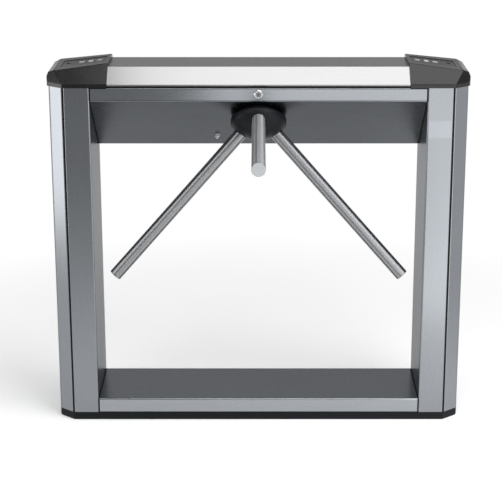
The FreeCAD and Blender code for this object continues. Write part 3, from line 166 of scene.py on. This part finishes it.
def brushed(name, colour, rough, turn=UPRIGHT, edge=1.0, painted_shade=None, width=0.0006, length=0.06, contrast=0.05,
            depth=0.02, polished_round=False):
    """Brushed metal: fine streaks along the grain in tint, gloss and relief, over faint large clouds.

    The edge tint is how much of the shine is left at a grazing angle. The painted shade argument names a plane of the
    sheet whose tint is darkened as painted shade, for a darker reflection there: its normal, its offset and the share
    of the tint that it keeps. A tube polished round its own Z axis is sharp across and blurs its reflections along
    that axis.
    """
    material, tree, shader = new_material(name)
    fine = noise(tree, (width, width, length), detail=4.0, rough=0.65, turn=turn)
    cloud = noise(tree, (0.16, 0.16, 0.30), detail=2.0, rough=0.5, turn=turn)
    tint = surface(tree, shader, colour, rough, fine, cloud, share=0.4, tones=(1 - contrast, 1 + contrast),
                   swing=(-0.03, 0.04), depth=depth, height=0.0004)
    # Painted shade: the sheet in the given plane keeps only a share of its tint.
    if painted_shade:
        normal, offset, kept = painted_shade
        shaded = add(tree, "ShaderNodeMix", data_type="RGBA", blend_type="MULTIPLY")
        factor, first, second = shaded.inputs[0], shaded.inputs[6], shaded.inputs[7]
        tree.links.new(in_plane(tree, normal, offset), factor)
        tree.links.new(tint, first)
        second.default_value = (kept, kept, kept, 1.0)
        tree.links.new(shaded.outputs[2], shader.inputs["Base Color"])
    if polished_round:
        around = add(tree, "ShaderNodeTangent", direction_type="RADIAL", axis="Z")
        tree.links.new(around.outputs["Tangent"], shader.inputs["Tangent"])
        shader.inputs["Anisotropic"].default_value = 1.0
        shader.inputs["Anisotropic Rotation"].default_value = QUARTER_TURN
    shader.inputs["Specular Tint"].default_value = (edge, edge, edge, 1.0)
    shader.inputs["Metallic"].default_value = 1.0
    return material


def moulded(name, colour, rough, grain=0.0011, depth=0.12, coat=0.0, shine=0.3):
    """Moulded or painted surface: a fine grain in relief, with clouds in its gloss and tint."""
    material, tree, shader = new_material(name)
    pebble = even_noise(tree, grain, detail=2.0, rough=0.5)
    cloud = even_noise(tree, 0.07, detail=3.0, rough=0.6)
    surface(tree, shader, colour, rough, pebble, cloud, share=0.55, tones=(0.82, 1.22), swing=(-0.06, 0.07),
            depth=depth, height=0.0003)
    shader.inputs["Coat Weight"].default_value = coat
    shader.inputs["Specular IOR Level"].default_value = shine
    return material


def machined(name, colour, rough, grain=0.0009):
    """Turned, plated or cast metal with a fine isotropic finish."""
    material, tree, shader = new_material(name)
    fine = even_noise(tree, grain, detail=4.0, rough=0.6)
    cloud = even_noise(tree, 0.03, detail=3.0, rough=0.55)
    surface(tree, shader, colour, rough, fine, cloud, share=0.5, tones=(0.86, 1.12), swing=(-0.07, 0.08),
            depth=0.08, height=0.0003)
    shader.inputs["Metallic"].default_value = 1.0
    return material


def print_paint(name, colour):
    """Screen print: a thin matt ink with slight pinholes."""
    material, tree, shader = new_material(name)
    speck = even_noise(tree, 0.0009, detail=2.0, rough=0.5)
    tree.links.new(tinted(tree, speck, colour, (0.9, 1.06)), shader.inputs["Base Color"])
    tree.links.new(ranged(tree, speck, 0.42, 0.55), shader.inputs["Roughness"])
    return material


STEEL = (0.252, 0.266, 0.283)
# Painted shade on the inclined panel of the top housing: its tint is darkened, for a darker reflection there.
INCLINED_PANEL_SHADE = ((0.0, -0.6428, -0.7660), -0.6182, 0.66)  # normal, offset in metres, share of the tint that is kept

post_steel = brushed("post_stainless", STEEL, rough=0.26, edge=0.50)
beam_steel = brushed("beam_stainless", STEEL, rough=0.26, turn=ALONG_X, edge=0.50, painted_shade=INCLINED_PANEL_SHADE)
# Painted light: the base cover's steel is a lighter copy of the post steel, brighter than the same sheet would be.
lighter_painted_base_steel = brushed("base_stainless_painted_lighter", scaled(STEEL, 1.28), rough=0.26, turn=ALONG_X, edge=0.58)
lid_steel = brushed("lid_stainless", (0.312, 0.309, 0.309), rough=0.25, turn=ALONG_X)
arm_steel = brushed("arm_tube_stainless", (0.32, 0.325, 0.335), rough=0.40, width=0.03, length=0.0012, contrast=0.08,
                    depth=0.006, polished_round=True)
disc_steel = machined("arm_disc_stainless", (0.29, 0.30, 0.31), rough=0.28)
cap_plastic = moulded("cap_plastic", (0.006, 0.0062, 0.0072), rough=0.24, grain=0.0010, depth=0.10, shine=0.40)
plinth_paint = moulded("plinth_paint", (0.007, 0.008, 0.010), rough=0.40, grain=0.0014, depth=0.10, shine=0.14)
hub_plastic = moulded("hub_plastic", (0.009, 0.0095, 0.0115), rough=0.40, grain=0.0010, depth=0.08, shine=0.12)
rubber = moulded("seal_rubber", (0.005, 0.005, 0.0055), rough=0.62, grain=0.0007, depth=0.2, shine=0.12)
frame_paint = moulded("frame_primer", (0.09, 0.09, 0.10), rough=0.55, grain=0.0012, depth=0.15)
zinc = machined("zinc_plate", (0.50, 0.50, 0.47), rough=0.34)
cast = machined("cast_aluminium", (0.48, 0.49, 0.50), rough=0.48, grain=0.0020)
bearing = machined("bearing_steel", (0.58, 0.58, 0.60), rough=0.20)
turned = machined("turned_steel", (0.36, 0.36, 0.37), rough=0.30)
brass = machined("pinion_brass", (0.62, 0.44, 0.16), rough=0.28)
encoder = moulded("encoder_plastic", (0.012, 0.012, 0.012), rough=0.50)
motor = moulded("motor_enamel", (0.03, 0.03, 0.034), rough=0.40, grain=0.0015, depth=0.08)
board = moulded("board_mask", (0.012, 0.11, 0.045), rough=0.32, grain=0.0025, depth=0.05, coat=0.3)
supply = machined("supply_aluminium", (0.55, 0.56, 0.57), rough=0.40)
film = moulded("indicator_film", (0.010, 0.0105, 0.0115), rough=0.30, grain=0.0008, depth=0.05)
lens = moulded("indicator_lens", (0.016, 0.017, 0.018), rough=0.22, grain=0.0012, depth=0.04, coat=0.2)
chrome = machined("lock_chrome", (0.62, 0.62, 0.63), rough=0.16)
plug_steel = machined("lock_plug_nickel", (0.20, 0.20, 0.205), rough=0.34)
stud_nickel = machined("stud_nickel", (0.88, 0.88, 0.87), rough=0.48)
sign_ink = print_paint("sign_ink", (0.46, 0.47, 0.48))

finishes = {
    post_steel: "left_post_wrap right_post_wrap left_post_end_cover right_post_end_cover",
    beam_steel: "top_housing",
    lighter_painted_base_steel: "base_cover",
    lid_steel: "top_cover cover_stiffeners",
    disc_steel: "arm_end_discs",
    cap_plastic: "left_end_cap right_end_cap",
    plinth_paint: "base_plinth",
    hub_plastic: "hub_cover hub_collar",
    rubber: "post_seals cover_gasket",
    frame_paint: "floor_frame left_post_column right_post_column left_beam_bracket right_beam_bracket",
    zinc: "beam_bolts housing_bolts plate_pillars mechanism_plate rear_plate pawl_pins hub_bolt shaft_nut "
          "board_standoffs release_lock_nut",
    cast: "bearing_housing hub_casting",
    bearing: "front_bearing rear_bearing",
    turned: "main_shaft index_disc drive_gear left_pawl right_pawl left_plunger right_plunger",
    brass: "motor_pinion",
    encoder: "encoder_disc",
    motor: "gear_motor left_solenoid right_solenoid",
    board: "control_board position_sensor indicator_boards",
    supply: "power_supply",
    film: "left_indicator_panel right_indicator_panel",
    lens: "indicator_windows",
    chrome: "release_lock_body",
    plug_steel: "release_lock_plug",
    stud_nickel: "earth_stud",
}


def dress(name, material):
    data = nodes[name].data
    if not data.materials:
        data.materials.append(material)
    for i in range(len(data.materials)):
        data.materials[i] = material


for material, names in finishes.items():
    for name in names.split():
        dress(name, material)


def new_piece(name, form, material):
    """Object in the scene from a bmesh, which is freed."""
    mesh = bpy.data.meshes.new(name)
    form.to_mesh(mesh)
    form.free()
    mesh.materials.append(material)
    piece = bpy.data.objects.new(name, mesh)
    scene.collection.objects.link(piece)
    return piece


# Arms, in metres from the point where their axes meet

ARM_RADIUS, ARM_WALL = 0.01685, 0.002
ARM_SEAT, ARM_END = 0.054, 0.577
ARM_CHAMFER = 0.0005
ARM_SIDES = 96
ARM_DIRECTIONS = {"front_arm": (0, -1, 0), "right_arm": (0.6634, -0.1198, -0.7386),
                  "left_arm": (-0.6634, -0.1198, -0.7386)}
SHARP_EDGE = math.radians(30)


def arm_tube(node, direction):
    """Smooth drawn tube in the place of an arm's solid, with its outer edge broken where the end disc is welded on."""
    low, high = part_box("front_arm")
    meet = Vector((0.0, high.y + ARM_SEAT, (low.z + high.z) / 2))
    turn = Vector((0, 0, 1)).rotation_difference(Vector(direction)).to_matrix()
    bore = ARM_RADIUS - ARM_WALL
    profile = ((bore, ARM_SEAT), (ARM_RADIUS, ARM_SEAT), (ARM_RADIUS, ARM_END - ARM_CHAMFER),
               (ARM_RADIUS - ARM_CHAMFER, ARM_END), (bore, ARM_END))
    form = bmesh.new()
    rings = []
    for radius, along in profile:
        ring = []
        for i in range(ARM_SIDES):
            angle = math.tau * i / ARM_SIDES
            ring.append(form.verts.new((radius * math.cos(angle), radius * math.sin(angle), along)))
        rings.append(ring)
    for k in range(len(rings)):
        near, far = rings[k - 1], rings[k]
        for i in range(ARM_SIDES):
            j = (i + 1) % ARM_SIDES
            form.faces.new((near[i], near[j], far[j], far[i])).smooth = True
    bmesh.ops.recalc_face_normals(form, faces=form.faces)
    for edge in form.edges:
        edge.smooth = edge.calc_face_angle() < SHARP_EDGE
    tube = new_piece(node + "_tube", form, arm_steel)
    tube.matrix_world = Matrix.Translation(meet) @ turn.to_4x4()
    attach(tube, "rotor")
    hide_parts(node)


for node, direction in ARM_DIRECTIONS.items():
    arm_tube(node, direction)

# Signs on the end caps' indicator windows

CAP_X, CAP_TOP, CAP_FALL = 0.3945, 0.9915, math.radians(6.8)
WINDOW_TOP = -0.001
INK = 0.00015
SIGN_ACROSS, SIGN_ALONG = 0.00062, 0.0011  # metres for one unit of an outline
CROSS = ((-11, -8), (-8, -11), (0, -3), (8, -11), (11, -8), (3, 0), (11, 8), (8, 11), (0, 3), (-8, 11), (-11, 8),
         (-3, 0))
CARD = ((-11, -7), (-9, -9), (9, -9), (11, -7), (11, 7), (9, 9), (-9, 9), (-11, 7))
ARROW = ((-6, -10), (-6, 2), (-11, 2), (0, 13), (11, 2), (6, 2), (6, -10))
SIGNS = (("cross", 0.027, CROSS), ("card", 0.051, CARD), ("arrow", 0.075, ARROW))  # with the window's place on the deck


def on_deck(side, x, y, z):
    """Point on a cap's sloping deck: x outwards, y back, z up from the deck."""
    out = CAP_X + x * math.cos(CAP_FALL) + z * math.sin(CAP_FALL)
    return Vector((side * out, y, CAP_TOP - x * math.sin(CAP_FALL) + z * math.cos(CAP_FALL)))


def printed_sign(name, side, centre, outline):
    """Pictogram printed on an indicator window, as a thin raised layer of ink."""
    form = bmesh.new()
    spots = [(centre + SIGN_ACROSS * across, SIGN_ALONG * along) for along, across in outline]
    lower = [form.verts.new(on_deck(side, x, y, WINDOW_TOP)) for x, y in spots]
    upper = [form.verts.new(on_deck(side, x, y, WINDOW_TOP + INK)) for x, y in spots]
    form.faces.new(upper)
    form.faces.new(list(reversed(lower)))
    for i in range(len(spots)):
        j = (i + 1) % len(spots)
        form.faces.new((lower[i], lower[j], upper[j], upper[i]))
    bmesh.ops.recalc_face_normals(form, faces=form.faces)
    sign = new_piece(name, form, sign_ink)
    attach(sign, "cabinet")


for side, word in ((1, "right"), (-1, "left")):
    for shape, centre, outline in SIGNS:
        printed_sign(word + "_" + shape + "_sign", side, centre, outline)

# Floor, backdrop and light

FLOOR_HALF = 60.0
FLOOR_TONES = (0.83, 0.86)
FLOOR_LIFT = 0.26  # white added to the lit floor where it is seen
FLOOR_SPAN = (0.8, 1.6)  # distance over which the lit floor gives way to plain white
# Painted shade: towards the front the white of the floor and backdrop falls off, in place of light falling off there,
# and the metal reflects it.
FADE_WAY = (0.0, -1.0, 0.0)
FADE_TURN = (0.35, 0.85)  # cosines to that way between which the white falls off
FADE_REACH = (0.2, 3.4)  # distance over which it does so on the floor
FADE_LEAST = 0.36
HORIZON = (0.07, 0.14)  # heights on the backdrop between which its share in the fall-off ends
WORLD_STOPS = ((0.07, 1.0), (0.14, 0.28), (0.26, 0.30), (0.36, 0.42), (0.50, 0.40), (0.70, 0.20))
WORLD_BLUE = 1.01
WORLD_LOW, WORLD_HIGH = (1.0, 1.0, 1.0, 1.0), (0.22, 0.22, 0.222, 1.0)


def shown_to_eye(tree):
    """One for rays that show the background: straight from the camera, mirrored or passed through."""
    rays = add(tree, "ShaderNodeLightPath").outputs
    seen = number(tree, "ADD", rays["Is Camera Ray"], rays["Is Glossy Ray"])
    return number(tree, "ADD", seen, rays["Is Transmission Ray"], use_clamp=True)


def kept_white(tree, place, reach):
    """Share of the white that is left towards the front, by the direction from the object and how far out it is; the
    loss is painted shade.
    """
    way = vector(tree, "NORMALIZE", place, output="Vector")
    ahead = vector(tree, "DOT_PRODUCT", way, FADE_WAY)
    turn = ranged(tree, ahead, 0.0, 1.0 - FADE_LEAST, FADE_TURN, "SMOOTHSTEP")
    return number(tree, "SUBTRACT", 1.0, number(tree, "MULTIPLY", turn, reach))


def glowing(tree, strength):
    glow = add(tree, "ShaderNodeEmission")
    tree.links.new(strength, glow.inputs["Strength"])
    return glow.outputs["Emission"]


def build_floor():
    """Pale matt floor that keeps its shadows near the object and runs out into the white background; its white falls
    off towards the front as painted shade.
    """
    mesh = bpy.data.meshes.new("studio_floor")
    corners = [(FLOOR_HALF * x, FLOOR_HALF * y, 0) for x, y in ((-1, -1), (1, -1), (1, 1), (-1, 1))]
    mesh.from_pydata(corners, [], [(0, 1, 2, 3)])
    floor = bpy.data.objects.new("studio_floor", mesh)
    scene.collection.objects.link(floor)
    material = bpy.data.materials.new("studio_floor")
    material.use_nodes = True
    mesh.materials.append(material)
    tree = material.node_tree
    tree.nodes.clear()
    seen = shown_to_eye(tree)
    matt = add(tree, "ShaderNodeBsdfDiffuse")
    grain = even_noise(tree, 0.5, detail=3.0, rough=0.5)
    tree.links.new(tinted(tree, grain, (1.0, 1.0, 1.0), FLOOR_TONES), matt.inputs["Color"])
    near = add(tree, "ShaderNodeAddShader")
    tree.links.new(matt.outputs["BSDF"], near.inputs[0])
    tree.links.new(glowing(tree, number(tree, "MULTIPLY", seen, FLOOR_LIFT)), near.inputs[1])
    place = own_place(tree)
    length = vector(tree, "LENGTH", place)
    reach = ranged(tree, length, 0.0, 1.0, FADE_REACH, "SMOOTHSTEP")
    far = ranged(tree, length, 0.0, 1.0, FLOOR_SPAN)
    blend = add(tree, "ShaderNodeMixShader")
    tree.links.new(number(tree, "MULTIPLY", far, seen), blend.inputs["Fac"])
    tree.links.new(near.outputs["Shader"], blend.inputs[1])
    tree.links.new(glowing(tree, kept_white(tree, place, reach)), blend.inputs[2])
    output = add(tree, "ShaderNodeOutputMaterial")
    tree.links.new(blend.outputs["Shader"], output.inputs["Surface"])


def build_world():
    """White round the horizon, grey above it and lighter again higher up; it falls off where the floor does, as painted
    shade towards the front.
    """
    world = bpy.data.worlds.new("studio")
    world.use_nodes = True
    scene.world = world
    tree = world.node_tree
    background = tree.nodes["Background"]
    place = add(tree, "ShaderNodeTexCoord").outputs["Generated"]
    parts = add(tree, "ShaderNodeSeparateXYZ")
    tree.links.new(place, parts.inputs["Vector"])
    ramp = add(tree, "ShaderNodeValToRGB")
    stops = ramp.color_ramp.elements
    stops[0].color, stops[1].color = WORLD_LOW, WORLD_HIGH
    for height, grey in WORLD_STOPS:
        stops.new(height).color = (grey, grey, grey * WORLD_BLUE, 1.0)
    tree.links.new(parts.outputs["Z"], ramp.inputs["Fac"])
    tree.links.new(ramp.outputs["Color"], background.inputs["Color"])
    low = ranged(tree, parts.outputs["Z"], 1.0, 0.0, HORIZON)
    tree.links.new(kept_white(tree, place, low), background.inputs["Strength"])


def softbox(name, place, aim, width, height, power):
    data = bpy.data.lights.new(name, "AREA")
    data.shape = "RECTANGLE"
    data.size = width
    data.size_y = height
    data.energy = power
    light = bpy.data.objects.new(name, data)
    light.location = place
    light.rotation_euler = (Vector(aim) - Vector(place)).to_track_quat("-Z", "Y").to_euler()
    scene.collection.objects.link(light)


build_floor()
build_world()
softbox("overhead_softbox", (0.90, -0.5, 3.0), aim=(0.90, -0.5, 0.0), width=3.0, height=1.6, power=42.0)
softbox("key_softbox", (2.3, -2.4, 3.2), aim=(0.0, 0.0, 0.4), width=2.8, height=2.2, power=68.0)
softbox("front_bar", (0.745, -0.9, 0.82), aim=(0.745, 0.0, 0.82), width=1.83, height=0.40, power=3.7)
softbox("front_softbox", (1.05, -0.9, 0.33), aim=(1.05, 0.0, 0.33), width=1.2, height=0.66, power=4.3)
softbox("left_softbox", (-1.9, -0.35, 0.68), aim=(-0.5, -0.1, 0.68), width=0.9, height=1.1, power=6.8)
softbox("fill_softbox", (-2.3, -2.2, 3.2), aim=(0.0, 0.0, 0.6), width=1.8, height=1.4, power=28.0)

# Camera

CAMERA_PLACE = (0.0, -3.929, 1.7315)
CAMERA_DOWN = 16.0  # degrees below the horizontal
SENSOR_WIDTH, FOCAL_LENGTH = 36.0, 107.6  # millimetres
SHIFT_X, SHIFT_Y = -0.015, -0.10
CLIP_END = 200.0

camera_data = bpy.data.cameras.new("camera")
camera_data.sensor_width = SENSOR_WIDTH
camera_data.lens = FOCAL_LENGTH
camera_data.shift_x = SHIFT_X
camera_data.shift_y = SHIFT_Y
camera_data.clip_end = CLIP_END
camera = bpy.data.objects.new("camera", camera_data)
camera.location = CAMERA_PLACE
camera.rotation_euler = Euler((math.radians(90 - CAMERA_DOWN), 0.0, 0.0))
scene.collection.objects.link(camera)
scene.camera = camera
